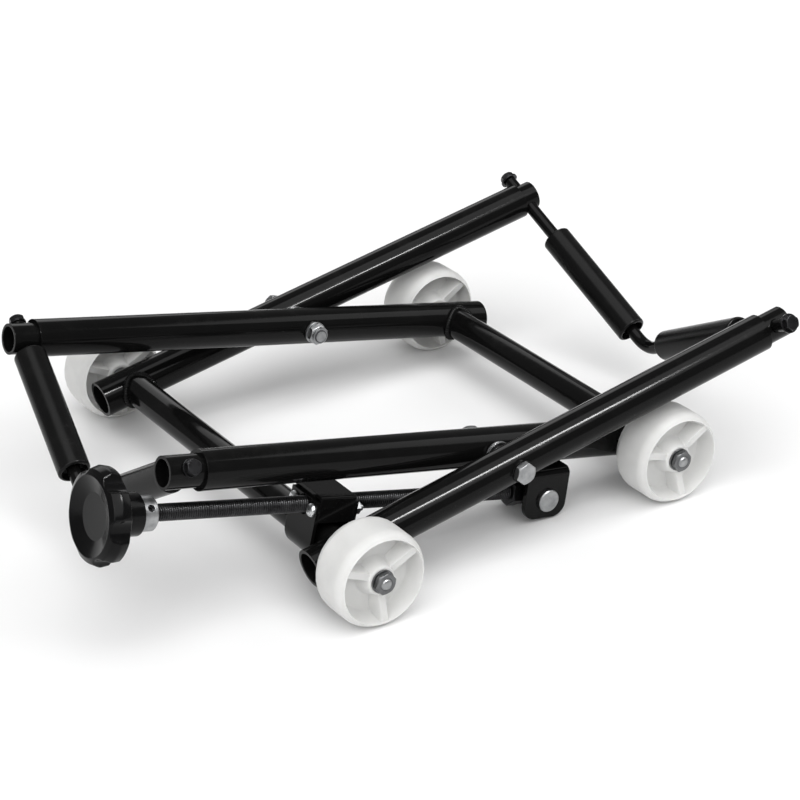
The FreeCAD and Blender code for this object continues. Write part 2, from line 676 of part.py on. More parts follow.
def shaft_collar():
    edge = COLLAR_EDGE
    bore = SCREW_RADIUS + TIGHT_FIT
    outline = [
        (bore, 0),
        (COLLAR_RADIUS - edge, 0),
        (COLLAR_RADIUS, edge),
        (COLLAR_RADIUS, COLLAR_LENGTH - edge),
        (COLLAR_RADIUS - edge, COLLAR_LENGTH),
        (bore, COLLAR_LENGTH),
    ]
    start = TRUNNION - SCREW_RIGHT * COLLAR_START
    collar = solid_of_revolution(outline, start, -SCREW_RIGHT)
    middle = start - SCREW_RIGHT * (COLLAR_LENGTH / 2)
    return collar.cut(cylinder(middle, set_screw_direction(), SET_SCREW_RADIUS, COLLAR_RADIUS + 1))


def set_screw():
    direction = set_screw_direction()
    middle = TRUNNION - SCREW_RIGHT * (COLLAR_START + COLLAR_LENGTH / 2)
    base = middle + direction * (SCREW_RADIUS + TIGHT_FIT)
    plug = cylinder(base, direction, SET_SCREW_RADIUS - TIGHT_FIT, SET_SCREW_LENGTH)
    socket_base = base + direction * (SET_SCREW_LENGTH / 2)
    socket = hex_piece(socket_base, direction, SET_SCREW_SOCKET, SET_SCREW_LENGTH)
    return plug.cut(socket)


def build_screw():
    save("lead_screw", lead_screw())
    save("hand_knob", hand_knob())
    save("shaft_collar", shaft_collar())
    save("collar_set_screw", set_screw())


# ---------------------------------------------------------------------------------- swivelling saddle
STRAP_PLATE = 3.0
STRAP_LOOSE = 0.4             # radial clearance of the strap round the cross tube
STRAP_INNER = CROSS_RADIUS + STRAP_LOOSE
STRAP_OUTER = STRAP_INNER + STRAP_PLATE
STRAP_SLACK = 4.5             # how much longer to the left than the cross tube needs
SADDLE_HALF_WIDTH = 19.6
LEG_ABOVE_SCREW = 8.5
CAP_ABOVE_SCREW = 13.3
CAP_BELOW_SCREW = 9.0
CAP_LOOSE = 0.1               # between the cap's ends and the strap's legs
CAP_HALF_LENGTH = STRAP_INNER - CAP_LOOSE
CAP_BEND = 1.8
BLOCK_HALF_WIDTH = 10.0
BLOCK_BELOW_SCREW = 12.0
BLOCK_ABOVE_SCREW = 10.2
SADDLE_BORE = 8.3             # leaves room for the opened loop of the linkage
SADDLE_REACH = 40.0           # long enough to cut right through the saddle
CLAMP_SCREW_RADIUS = 3.0
CLAMP_SCREW_Y = 13.2
CLAMP_HEAD_RADIUS = 5.7
CLAMP_HEAD = 3.4
CLAMP_NUT = 5.0
CLAMP_NUT_FLATS = 10.0
CLAMP_TIP = 25.4              # end of a clamp screw, from the saddle's middle


def saddle_hole(y, radius):
    start = Vector(-SADDLE_REACH, y, SCREW_ABOVE_CROSS)
    return cylinder(start, X_AXIS, radius, 2 * SADDLE_REACH)


def flattened_bar(radius):
    """A bar along Y, round at its left and right and flat between, as wide as the saddle."""
    width = 2 * SADDLE_HALF_WIDTH
    right = Vector(0, -SADDLE_HALF_WIDTH, 0)
    left = right - X_AXIS * STRAP_SLACK
    middle = Part.makeBox(STRAP_SLACK, width, 2 * radius, left - Z_AXIS * radius)
    ends = cylinder(left, Y_AXIS, radius, width).fuse(cylinder(right, Y_AXIS, radius, width))
    return ends.fuse(middle).removeSplitter()


def saddle_strap():
    """The strap bent under the cross tube, its two legs drilled for the lead screw and clamp screws."""
    width = 2 * SADDLE_HALF_WIDTH
    top = SCREW_ABOVE_CROSS + LEG_ABOVE_SCREW
    loop = flattened_bar(STRAP_OUTER).cut(flattened_bar(STRAP_INNER))
    below = Vector(-SADDLE_REACH, -SADDLE_HALF_WIDTH, -SADDLE_REACH)
    loop = loop.common(Part.makeBox(2 * SADDLE_REACH, width, SADDLE_REACH, below))
    for x in (-STRAP_OUTER - STRAP_SLACK, STRAP_INNER):
        loop = loop.fuse(Part.makeBox(STRAP_PLATE, width, top, Vector(x, -SADDLE_HALF_WIDTH, 0)))
    loop = loop.removeSplitter().cut(saddle_hole(0, SADDLE_BORE))
    for y in (-CLAMP_SCREW_Y, CLAMP_SCREW_Y):
        loop = loop.cut(saddle_hole(y, CLAMP_SCREW_RADIUS + TIGHT_FIT))
    return loop


def saddle_cap():
    bottom = SCREW_ABOVE_CROSS - CAP_BELOW_SCREW
    top = SCREW_ABOVE_CROSS + CAP_ABOVE_SCREW
    left = -CAP_HALF_LENGTH - STRAP_SLACK
    return channel(SADDLE_HALF_WIDTH, STRAP_PLATE, CAP_BEND, bottom, top, left, CAP_HALF_LENGTH)


def saddle_block():
    bottom = SCREW_ABOVE_CROSS - BLOCK_BELOW_SCREW
    height = BLOCK_BELOW_SCREW + BLOCK_ABOVE_SCREW
    corner = Vector(-CAP_HALF_LENGTH - STRAP_SLACK, -BLOCK_HALF_WIDTH, bottom)
    block = Part.makeBox(2 * CAP_HALF_LENGTH + STRAP_SLACK, 2 * BLOCK_HALF_WIDTH, height, corner)
    return block.cut(saddle_hole(0, SADDLE_BORE))


def clamp_screw(y):
    """A round-headed screw from left to right, beside the lead screw."""
    head_radius = CLAMP_HEAD_RADIUS
    outline = [
        (0, 0),
        (head_radius, 0),
        (head_radius, -CLAMP_HEAD * 0.25),
        (head_radius * 0.8, -CLAMP_HEAD * 0.8, head_radius * 0.4, -CLAMP_HEAD),
        (0, -CLAMP_HEAD),
    ]
    start = STRAP_OUTER + STRAP_SLACK
    place = Vector(-start, y, SCREW_ABOVE_CROSS)
    head = solid_of_revolution(outline, place, X_AXIS)
    shank = cylinder(place, X_AXIS, CLAMP_SCREW_RADIUS, start + CLAMP_TIP)
    return head.fuse(shank).removeSplitter()


def build_saddle():
    place = LEFT_AXLE - Y_AXIS * INNER_ARM_Y
    save("saddle_strap", tilted(saddle_strap(), place, SCREW_SLOPE))
    save("saddle_cap", tilted(saddle_cap(), place, SCREW_SLOPE))
    save("saddle_nut_block", tilted(saddle_block(), place, SCREW_SLOPE))
    screws, nuts = [], []
    for y in (-CLAMP_SCREW_Y, CLAMP_SCREW_Y):
        screws.append(tilted(clamp_screw(y), place, SCREW_SLOPE))
        nut_place = Vector(STRAP_OUTER, y, SCREW_ABOVE_CROSS)
        bore = CLAMP_SCREW_RADIUS + TIGHT_FIT
        nut = hex_piece(nut_place, X_AXIS, CLAMP_NUT_FLATS, CLAMP_NUT, bore, 15)
        nuts.append(tilted(nut, place, SCREW_SLOPE))
    save("saddle_clamp_screws", *screws)
    save("saddle_clamp_nuts", *nuts)


# ---------------------------------------------------------------------------------- the whole dolly
os.makedirs("parts", exist_ok=True)
build_frames()
build_main_pivot()
build_wheels()
build_cradle("right", RIGHT_CRADLE)
build_cradle("left", LEFT_CRADLE)
build_trunnion()
build_screw()
build_saddle()
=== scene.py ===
import json
import math

import bmesh
import bpy
from mathutils import Matrix, Vector


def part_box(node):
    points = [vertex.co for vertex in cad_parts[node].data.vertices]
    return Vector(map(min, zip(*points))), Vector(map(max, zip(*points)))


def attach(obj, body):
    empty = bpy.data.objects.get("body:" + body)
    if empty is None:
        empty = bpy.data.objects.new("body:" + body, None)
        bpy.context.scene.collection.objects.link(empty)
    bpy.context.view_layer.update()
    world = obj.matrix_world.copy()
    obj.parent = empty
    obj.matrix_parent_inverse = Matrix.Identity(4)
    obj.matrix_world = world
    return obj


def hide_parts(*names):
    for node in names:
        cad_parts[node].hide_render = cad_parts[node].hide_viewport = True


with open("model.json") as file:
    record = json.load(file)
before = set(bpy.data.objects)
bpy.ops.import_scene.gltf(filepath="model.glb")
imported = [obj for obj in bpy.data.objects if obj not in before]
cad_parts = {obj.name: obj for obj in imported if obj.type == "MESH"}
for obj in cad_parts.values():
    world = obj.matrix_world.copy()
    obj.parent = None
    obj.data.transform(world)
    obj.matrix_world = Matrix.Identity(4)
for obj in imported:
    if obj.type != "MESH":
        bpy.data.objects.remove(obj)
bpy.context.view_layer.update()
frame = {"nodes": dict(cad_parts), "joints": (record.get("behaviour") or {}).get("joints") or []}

NODES = frame["nodes"]
JOINTS = {joint["name"]: joint for joint in frame["joints"]}
SIDES = {"front": -1, "rear": 1}
ENDS = ("left", "right")
MM = 0.001
FULL_TURN = 2 * math.pi


def joint_place(name):
    return Vector(JOINTS[name]["pos_m"])


def joint_axis(name):
    return Vector(JOINTS[name]["axis"]).normalized()


X_AXIS = Vector((1, 0, 0))
Y_AXIS = Vector((0, 1, 0))
Z_AXIS = Vector((0, 0, 1))
PIVOT = joint_place("main_pivot")
LEFT_AXLE = joint_place("lift_hinge")
RIGHT_AXLE = Vector((2 * PIVOT.x - LEFT_AXLE.x, 0, LEFT_AXLE.z))
TRUNNION = joint_place("trunnion_hinge")
TO_KNOB = joint_axis("screw_spin")
UP_OUTER = (PIVOT - LEFT_AXLE).normalized()
UP_INNER = (PIVOT - RIGHT_AXLE).normalized()
OUTER_ARM_Y = 182.0 * MM
INNER_ARM_Y = 145.7 * MM
TUBE_RADIUS = 16.5 * MM
CROSS_RADIUS = 14.0 * MM
MERGE_DISTANCE = 1e-6         # points of a new mesh closer than this, in metres, become one
CAD_SHARP_DEGREES = 32


# ------------------------------------------------------------------------------ mesh helpers
def new_piece(name, verts, faces, sharp_degrees=35):
    """A smooth-shaded mesh object whose vertices are in the row frame, with crisp edges kept."""
    mesh = bpy.data.meshes.new(name)
    mesh.from_pydata([tuple(point) for point in verts], [], faces)
    work = bmesh.new()
    work.from_mesh(mesh)
    bmesh.ops.remove_doubles(work, verts=work.verts, dist=MERGE_DISTANCE)
    bmesh.ops.dissolve_degenerate(work, dist=MERGE_DISTANCE / 10, edges=work.edges)
    bmesh.ops.recalc_face_normals(work, faces=work.faces)
    work.to_mesh(mesh)
    work.free()
    mesh.shade_smooth()
    mesh.set_sharp_from_angle(angle=math.radians(sharp_degrees))
    piece = bpy.data.objects.new(name, mesh)
    bpy.context.scene.collection.objects.link(piece)
    return piece


def axes_round(direction):
    """Two unit vectors square to direction and to each other."""
    direction = direction.normalized()
    first = Y_AXIS - direction * direction.dot(Y_AXIS)
    if first.length < 0.5:
        first = Z_AXIS - direction * direction.dot(Z_AXIS)
    first.normalize()
    return first, direction.cross(first)


def grid_faces(rows, columns, start=0):
    """Quads between rows of vertices that close on themselves."""
    faces = []
    for row in range(rows - 1):
        for column in range(columns):
            after = (column + 1) % columns
            low = start + row * columns
            high = low + columns
            faces.append((low + column, low + after, high + after, high + column))
    return faces


def turned(outline, base, direction, segments=72, shape=None, start=0):
    """Turns (radius, height) points, in millimetres, about an axis. shape may change a radius by angle."""
    first, second = axes_round(direction)
    verts = []
    for radius, height in outline:
        for step in range(segments):
            angle = FULL_TURN * step / segments
            reach = shape(radius, height, angle) if shape else radius
            spoke = first * math.cos(angle) + second * math.sin(angle)
            verts.append(base + direction * (height * MM) + spoke * (reach * MM))
    return verts, grid_faces(len(outline), segments, start)


def rounded_corner(before, corner, after, radius, steps=4):
    """Points of a small arc in place of one corner of an outline."""
    corner = Vector(corner)
    to_before = (Vector(before) - corner).normalized()
    to_after = (Vector(after) - corner).normalized()
    half = to_before.angle(to_after) / 2
    longest = min((Vector(before) - corner).length, (Vector(after) - corner).length) / 2
    reach = min(radius / math.tan(half), longest)
    centre = corner + (to_before + to_after).normalized() * (reach / math.cos(half))
    first = corner + to_before * reach - centre
    turn = first.angle_signed(corner + to_after * reach - centre)
    points = []
    for step in range(steps + 1):
        angle = -turn * step / steps
        points.append(tuple(centre + Matrix.Rotation(angle, 2) @ first))
    return points


def rounded_outline(outline, radii):
    """An outline with the corners listed in radii (index to radius) rounded."""
    result = []
    for index, point in enumerate(outline):
        if index in radii:
            result += rounded_corner(outline[index - 1], point, outline[index + 1], radii[index])
        else:
            result.append(point)
    return result


# One turn's points, each a part of the pitch and a part of the depth below the crest.
THREAD_PROFILE = ((0.0, 1.0), (0.22, 0.35), (0.42, 0.0), (0.58, 0.0), (0.78, 0.35))
THREAD_END_STEP = 0.3         # how far an end face lies inside the thread's root
THREAD_END_SLOPE = 0.8        # growth of the chamfer's radius per millimetre along the screw


def thread(base, direction, length, radius, pitch, depth, start=0, columns=28):
    """A screw thread as one helical surface, with both ends chamfered and closed. Lengths in millimetres."""
    first, second = axes_round(direction)
    turns = int(length / pitch) + 2
    end_radius = radius - depth - THREAD_END_STEP
    verts = []
    for step in range(turns * columns + 1):
        angle = FULL_TURN * step / columns
        spoke = first * math.cos(angle) + second * math.sin(angle)
        for along, sunk in THREAD_PROFILE:
            height = min(max((step / columns - 1 + along) * pitch, 0.0), length)
            from_end = min(height, length - height)
            reach = min(radius - sunk * depth, end_radius + from_end * THREAD_END_SLOPE)
            verts.append(base + direction * (height * MM) + spoke * (reach * MM))
    faces = []
    count = len(THREAD_PROFILE)
    for step in range(turns * columns):
        here = start + step * count
        for row in range(count - 1):
            faces.append((here + row, here + count + row, here + count + row + 1, here + row + 1))
        if step + columns < turns * columns:
            above = here + columns * count
            faces.append((here + count - 1, here + 2 * count - 1, above + count, above))
    for height in (0.0, length):
        centre = base + direction * (height * MM)
        ring_start = start + len(verts)
        verts.append(centre)
        for column in range(columns):
            angle = FULL_TURN * column / columns
            spoke = first * math.cos(angle) + second * math.sin(angle)
            verts.append(centre + spoke * (end_radius * MM))
        for column in range(columns):
            after = (column + 1) % columns
            faces.append((ring_start, ring_start + 1 + column, ring_start + 1 + after))
    return verts, faces


def joined(parts):
    """Puts several (maker, arguments) meshes into one list of vertices and faces."""
    verts, faces = [], []
    for maker, arguments in parts:
        more_verts, more_faces = maker(**arguments, start=len(verts))
        verts += more_verts
        faces += more_faces
    return verts, faces


# ------------------------------------------------------------------------------ materials
class Finish:
    """A procedural material under construction, with its nodes named by what they do."""

    def __init__(self, name):
        self.material = bpy.data.materials.new(name)
        self.material.use_nodes = True
        self.tree = self.material.node_tree
        self.shader = self.tree.nodes["Principled BSDF"]
        self.coordinates = self.node("ShaderNodeTexCoord").outputs["Object"]

    def node(self, kind, **settings):
        made = self.tree.nodes.new(kind)
        for key, value in settings.items():
            setattr(made, key, value)
        return made

    def link(self, source, target):
        self.tree.links.new(source, target)

    def constant(self, **values):
        """Sets constants on the shader's own sockets."""
        for key, value in values.items():
            self.shader.inputs[key.replace("_", " ")].default_value = value

    def noise(self, scale, detail=3.0, roughness=0.5, stretch=None):
        made = self.node("ShaderNodeTexNoise")
        made.inputs["Scale"].default_value = scale
        made.inputs["Detail"].default_value = detail
        made.inputs["Roughness"].default_value = roughness
        source = self.coordinates
        if stretch:
            mapping = self.node("ShaderNodeMapping")
            mapping.inputs["Scale"].default_value = stretch
            self.link(source, mapping.inputs["Vector"])
            source = mapping.outputs["Vector"]
        self.link(source, made.inputs["Vector"])
        return made.outputs["Fac"]

    def spots(self, scale):
        made = self.node("ShaderNodeTexVoronoi")
        made.inputs["Scale"].default_value = scale
        self.link(self.coordinates, made.inputs["Vector"])
        return made.outputs["Distance"]

    def ramp(self, source, low, high, start=0.0, end=1.0):
        made = self.node("ShaderNodeMapRange")
        made.inputs["From Min"].default_value = low
        made.inputs["From Max"].default_value = high
        made.inputs["To Min"].default_value = start
        made.inputs["To Max"].default_value = end
        self.link(source, made.inputs["Value"])
        return made.outputs["Result"]

    def math(self, operation, first, second):
        made = self.node("ShaderNodeMath", operation=operation)
        for slot, value in zip(made.inputs, (first, second)):
            if isinstance(value, (int, float)):
                slot.default_value = value
            else:
                self.link(value, slot)
        return made.outputs[0]

    def mixed(self, factor, first, second):
        made = self.node("ShaderNodeMix", data_type="RGBA")
        self.link(factor, made.inputs["Factor"])
        for slot, value in ((made.inputs[6], first), (made.inputs[7], second)):
            if isinstance(value, tuple):
                slot.default_value = value + (1.0,)
            else:
                self.link(value, slot)
        return made.outputs[2]

    def edges(self, radius, low, high):
        """1 on convex and concave edges, 0 on open faces."""
        bevel = self.node("ShaderNodeBevel", samples=6)
        bevel.inputs["Radius"].default_value = radius
        geometry = self.node("ShaderNodeNewGeometry")
        compare = self.node("ShaderNodeVectorMath", operation="DOT_PRODUCT")
        self.link(bevel.outputs["Normal"], compare.inputs[0])
        self.link(geometry.outputs["Normal"], compare.inputs[1])
        return self.ramp(compare.outputs["Value"], high, low)

    def upward(self):
        """1 on faces that look up, 0 on steep and hanging ones."""
        geometry = self.node("ShaderNodeNewGeometry")
        split = self.node("ShaderNodeSeparateXYZ")
        self.link(geometry.outputs["Normal"], split.inputs["Vector"])
        return self.ramp(split.outputs["Z"], 0.3, 1.0)

    def relief(self, layers, soft_edge=0.0):
        """Bump layers of (height, strength, distance in metres), over an optional softened edge."""
        previous = None
        if soft_edge:
            bevel = self.node("ShaderNodeBevel", samples=6)
            bevel.inputs["Radius"].default_value = soft_edge
            previous = bevel.outputs["Normal"]
        for height, strength, distance in layers:
            bump = self.node("ShaderNodeBump")
            bump.inputs["Strength"].default_value = strength
            bump.inputs["Distance"].default_value = distance
            self.link(height, bump.inputs["Height"])
            if previous:
                self.link(previous, bump.inputs["Normal"])
            previous = bump.outputs["Normal"]
        self.link(previous, self.shader.inputs["Normal"])

    def finish(self, colour, roughness):
        self.link(colour, self.shader.inputs["Base Color"])
        self.link(roughness, self.shader.inputs["Roughness"])
        return self.material


def painted(name, dark, light, gloss, peel, edge_tone=0.014):
    """Black powder coat: faint mottling, orange peel, fine rub marks, dust on top and thin edges."""
    look = Finish(name)
    mottled = look.mixed(look.noise(14.0, 4.0), (dark,) * 3, (light,) * 3)
    dust = look.math("MULTIPLY", look.upward(), look.ramp(look.noise(55.0, 6.0, 0.65), 0.52, 0.85))
    dusty = look.mixed(look.math("MULTIPLY", dust, 0.02), mottled, (0.30, 0.29, 0.28))
    patches = look.ramp(look.noise(160.0, 3.0), 0.35, 0.75)
    rubbed = look.math("MULTIPLY", look.edges(0.5 * MM, 0.90, 0.99), patches)
    colour = look.mixed(look.math("MULTIPLY", rubbed, 0.8), dusty, (edge_tone,) * 3)
    marks = look.noise(30.0, 5.0, 0.6, stretch=(0.35, 5.0, 5.0))
    rough = look.ramp(marks, 0.3, 0.75, gloss, gloss + 0.06)
    rough = look.math("ADD", rough, look.math("MULTIPLY", dust, 0.12))
    layers = [(look.noise(620.0, 2.0), peel, 0.25 * MM), (look.noise(70.0, 2.0), 0.05, 0.5 * MM)]
    look.relief(layers, soft_edge=0.5 * MM)
    look.constant(Specular_IOR_Level=0.12, Metallic=0.0)
    return look.finish(colour, rough)


def plated(name, dark, light, rough, metallic=1.0, grain=0.12, stain=(0.20, 0.19, 0.17)):
    """Zinc plate or black oxide: cloudy tone, fine turning grain, small stains and bright edges."""
    look = Finish(name)
    cloudy = look.mixed(look.ramp(look.noise(120.0, 5.0, 0.6), 0.3, 0.7), dark, light)
    stained = look.mixed(look.ramp(look.noise(260.0, 6.0, 0.7), 0.60, 0.85, 0.0, 0.45), cloudy, stain)
    bright = tuple(min(1.0, part * 1.35 + 0.02) for part in light)
    colour = look.mixed(look.math("MULTIPLY", look.edges(0.35 * MM, 0.88, 0.99), 0.6), stained, bright)
    roughness = look.ramp(look.noise(340.0, 4.0, 0.6), 0.3, 0.75, rough - 0.06, rough + 0.10)
    layers = [(look.noise(900.0, 3.0, 0.6), grain, 0.1 * MM), (look.noise(180.0, 2.0), 0.08, 0.2 * MM)]
    look.relief(layers, soft_edge=0.3 * MM)
    look.constant(Metallic=metallic)
    return look.finish(colour, roughness)


def white_nylon():
    """Moulded nylon: milky, with faint cloudiness, fine mould texture and grey scuffs on the tread."""
    look = Finish("white_nylon_wheel")
    milky = look.mixed(look.ramp(look.noise(45.0, 4.0), 0.3, 0.7), (0.66, 0.66, 0.65), (0.73, 0.73, 0.72))
    scuffs = look.ramp(look.noise(95.0, 7.0, 0.7, stretch=(1.0, 3.0, 1.0)), 0.63, 0.80)
    specks = look.ramp(look.spots(420.0), 0.10, 0.02)
    marks = look.math("ADD", look.math("MULTIPLY", scuffs, 0.10), look.math("MULTIPLY", specks, 0.10))
    colour = look.mixed(marks, milky, (0.42, 0.41, 0.39))
    rough = look.ramp(look.noise(210.0, 4.0), 0.3, 0.7, 0.44, 0.56)
    look.relief([(look.noise(1400.0, 2.0), 0.06, 0.1 * MM), (look.noise(90.0, 3.0), 0.10, 0.3 * MM)])
    look.constant(Specular_IOR_Level=0.25, Subsurface_Weight=0.25, Subsurface_Scale=1.0)
    look.constant(Subsurface_Radius=(0.004, 0.004, 0.0036))
    return look.finish(colour, rough)


def moulded(name, dark, light, gloss, grain=0.05):
    """Dark moulded plastic: slight flow marks, fine grain and small scratches."""
    look = Finish(name)
    flow = look.mixed(look.ramp(look.noise(40.0, 5.0, 0.6), 0.3, 0.7), dark, light)
    scratches = look.ramp(look.noise(180.0, 6.0, 0.75, stretch=(1.0, 1.0, 9.0)), 0.66, 0.80)
    colour = look.mixed(look.math("MULTIPLY", scratches, 0.10), flow, (0.16, 0.16, 0.16))
    rough = look.ramp(look.noise(90.0, 5.0), 0.3, 0.7, gloss, gloss + 0.10)
    rough = look.math("ADD", rough, look.math("MULTIPLY", scratches, 0.12))
    look.relief([(look.noise(1100.0, 2.0), grain, 0.1 * MM), (look.noise(60.0, 3.0), 0.05, 0.4 * MM)])
    look.constant(Specular_IOR_Level=0.12)
    return look.finish(colour, rough)


PAINT = painted("black_powder_coat", 0.0028, 0.0055, 0.08, 0.04)
ROLLER_PAINT = painted("satin_black_roller", 0.0040, 0.0075, 0.20, 0.06)
WELD = painted("painted_weld", 0.0030, 0.0060, 0.14, 0.12, 0.012)
BROWN_STAIN = (0.03, 0.027, 0.023)
SCREW_STEEL = plated("oiled_thread", (0.022, 0.022, 0.023), (0.055, 0.055, 0.057), 0.3, 0.9, 0.1, BROWN_STAIN)
DARK_STEEL = plated("black_oxide", (0.014, 0.014, 0.015), (0.030, 0.030, 0.032), 0.30, 0.8, stain=BROWN_STAIN)
BRIGHT_ZINC = plated("bright_zinc", (0.54, 0.55, 0.56), (0.70, 0.71, 0.72), 0.28)
ZINC = plated("zinc", (0.24, 0.245, 0.25), (0.40, 0.405, 0.41), 0.34, grain=0.2, stain=(0.12, 0.115, 0.11))
DULL_ZINC = plated("dull_zinc", (0.10, 0.102, 0.105), (0.19, 0.193, 0.197), 0.34, stain=(0.05, 0.047, 0.044))
WHITE = white_nylon()
BLACK_PLASTIC = moulded("black_knob_plastic", (0.0026, 0.0026, 0.0028), (0.0048, 0.0048, 0.0050), 0.12)
BUSH = moulded("black_nylon_bush", (0.012, 0.012, 0.012), (0.024, 0.024, 0.024), 0.40, 0.10)
INSERT = moulded("lock_ring_nylon", (0.05, 0.05, 0.055), (0.10, 0.10, 0.105), 0.45, 0.10)


def material_for(node):
    """The finish of a CAD node that is shown as it is."""
    if node.startswith(("wheel_bush", "roller_bushes")):
        return BUSH
    if node.startswith("roller_"):
        return ROLLER_PAINT
    if node.startswith("wheel_"):
        return WHITE
    if node in ("thrust_nuts", "thrust_spacers", "collar_set_screw") or node.endswith("_cradle_washers"):
        return DARK_STEEL
    if node.endswith("_cradle_bolts"):
        return DARK_STEEL
    if node == "pivot_nut_inserts":
        return INSERT
    if node.startswith("axle_"):
        return DULL_ZINC
    if node.startswith("pivot_") or node in ("trunnion_pin", "shaft_collar"):
        return ZINC
    if node.startswith("saddle_clamp"):
        return BRIGHT_ZINC
    return PAINT


for node, obj in NODES.items():
    obj.data.materials.clear()
    obj.data.materials.append(material_for(node))
    obj.data.shade_smooth()
    obj.data.set_sharp_from_angle(angle=math.radians(CAD_SHARP_DEGREES))


def dress(piece, material, slot, body, *replaced):
    """Gives a new piece its finish, its body and the CAD nodes that it stands for. The slot argument is not
    used.
    """
    piece.data.materials.append(material)
    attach(piece, body)
    if replaced:
        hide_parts(*replaced)
    return piece


# ------------------------------------------------------------------------------ lead screw
SCREW_RADIUS = 7.0
SCREW_PITCH = 2.0
SCREW_THREAD_DEPTH = 1.15
SCREW_TIP = 20.0              # right-hand end, beyond the trunnion pin
SCREW_LENGTH = 433.8


def build_lead_screw():
    base = TRUNNION - TO_KNOB * (SCREW_TIP * MM)
    verts, faces = thread(base, TO_KNOB, SCREW_LENGTH, SCREW_RADIUS, SCREW_PITCH, SCREW_THREAD_DEPTH)
    screw = new_piece("lead_screw_thread", verts, faces, sharp_degrees=60)
    dress(screw, SCREW_STEEL, "screw_steel", "screw", "lead_screw")


# ------------------------------------------------------------------------------ hand knob
KNOB_BASE = 384.8             # from the trunnion pin to the knob's hub
KNOB_FLUTES = 6
KNOB_FLUTE_RADIUS = 12.0
KNOB_FLUTE_CENTRE = 45.3
KNOB_FLUTE_TURN = math.radians(4.8)
KNOB_FLUTE_EDGE = 0.35        # softness of a flute's edges
KNOB_SOFT_LIMIT = 30.0        # edge widths from a flute's floor beyond which softness no longer counts
KNOB_SEGMENTS = 288


def knob_outline():
    """(radius, height) from the hub's inner edge, over the back and the rim, to the dish's middle.

    The points between radius 33 and 36 let the mesh follow the floors of the flutes.
    """
    corners = [
        (7.0, 0.0), (17.2, 0.0), (17.2, 15.5), (20.0, 15.7), (29.0, 19.85), (33.0, 21.7),
        (34.5, 22.4), (36.0, 23.1), (38.0, 24.0), (39.3, 31.5), (36.5, 38.3), (34.5, 39.25),
        (33.2, 39.85), (31.6, 40.6), (30.0, 39.9), (18.5, 35.8), (0.0, 35.8),
    ]
    radii = {1: 1.2, 2: 1.0, 8: 1.8, 9: 5.0, 10: 2.0, 13: 1.0, 14: 1.0, 15: 1.4}
    return rounded_outline(corners, radii)


def knob_flutes(radius, height, angle):
    """Six round finger flutes across the rim, parallel to the screw."""
    pitch = FULL_TURN / KNOB_FLUTES
    nearest = (angle - KNOB_FLUTE_TURN + pitch / 2) % pitch - pitch / 2
    across = KNOB_FLUTE_CENTRE * math.sin(nearest)
    if abs(across) >= KNOB_FLUTE_RADIUS:
        return radius
    floor = KNOB_FLUTE_CENTRE * math.cos(nearest) - math.sqrt(KNOB_FLUTE_RADIUS ** 2 - across ** 2)
    above = (radius - floor) / KNOB_FLUTE_EDGE
    if above <= -KNOB_SOFT_LIMIT:
        return radius
    return floor - KNOB_FLUTE_EDGE * math.log(1 + math.exp(-min(above, KNOB_SOFT_LIMIT)))


def build_knob():
    base = TRUNNION + TO_KNOB * (KNOB_BASE * MM)
    verts, faces = turned(knob_outline(), base, TO_KNOB, KNOB_SEGMENTS, knob_flutes)
    knob = new_piece("hand_knob_moulding", verts, faces, sharp_degrees=50)
    dress(knob, BLACK_PLASTIC, "black_plastic", "screw", "hand_knob")


# ------------------------------------------------------------------------------ wheels
WHEEL_RADIUS = 41.5
WHEEL_HALF_WIDTH = 21.0
TREAD_ROUND = 11.0            # the tread's rounding at both faces
TREAD_ROUND_TURN = 51.0       # degrees of rounding between the flat tread and the lip
TREAD_ROUND_STEPS = 10
TREAD_HALF_FLAT = 11.0
LIP_DROP = 0.15               # how far the dish's edge lies below the lip's crest
WHEEL_BORE = 7.0
HUB_FACE = 17.5
HUB_CHAMFER = 0.5
HUB_RADIUS = 11.2
HUB_RINGS = (9.0, 10.4)       # rings of the mesh on the hub's flat end
HUB_FOOT = 6.0                # how far the hub's cone spreads
DISH_FLOOR = 4.0
DISH_FLOOR_RADIUS = 31.6
DISH_RADIUS = 36.4
DISH_BAND_STEPS = 12
RIBS = 3
RIB_CREST_HUB = 15.6
RIB_CREST_RIM = 18.9
RIB_TURN = {"left": 33.0, "right": 40.0}
RIB_HALF_CREST = 2.8
RIB_FLANK = 2.6
RIB_OFFSETS = (0.0, 2.3, 2.8, 3.2, 3.5, 3.8, 4.1, 4.4, 4.8, 5.4, 6.2)
RIB_STEEPEST = 0.85           # near the hub, a rib's columns stop at this sine
RIB_CLEAR = 99.0              # the offset given to columns that no rib reaches
OPEN_COLUMNS = 9


def smooth_step(value):
    value = min(1.0, max(0.0, value))
    return value * value * (3 - 2 * value)


def dish_height(radius):
    """Height of a wheel's face without its ribs: hub, cone, floor and wall."""
    if radius <= HUB_RADIUS:
        return HUB_FACE
    cone = HUB_FACE - (HUB_FACE - DISH_FLOOR) * smooth_step((radius - HUB_RADIUS) / HUB_FOOT)
    up_the_wall = max(0.0, (radius - DISH_FLOOR_RADIUS) / (DISH_RADIUS - DISH_FLOOR_RADIUS))
    wall = DISH_FLOOR + (WHEEL_HALF_WIDTH - DISH_FLOOR) * up_the_wall ** 1.5
    return max(cone, min(wall, WHEEL_HALF_WIDTH - LIP_DROP))


def rib_height(radius, offset):
    """Height of a rib with drafted sides and a soft foot."""
    along = (radius - HUB_RADIUS) / (DISH_RADIUS - HUB_RADIUS)
    crest = RIB_CREST_HUB + (RIB_CREST_RIM - RIB_CREST_HUB) * along
    return DISH_FLOOR + (crest - DISH_FLOOR) * (1 - smooth_step((offset - RIB_HALF_CREST) / RIB_FLANK))


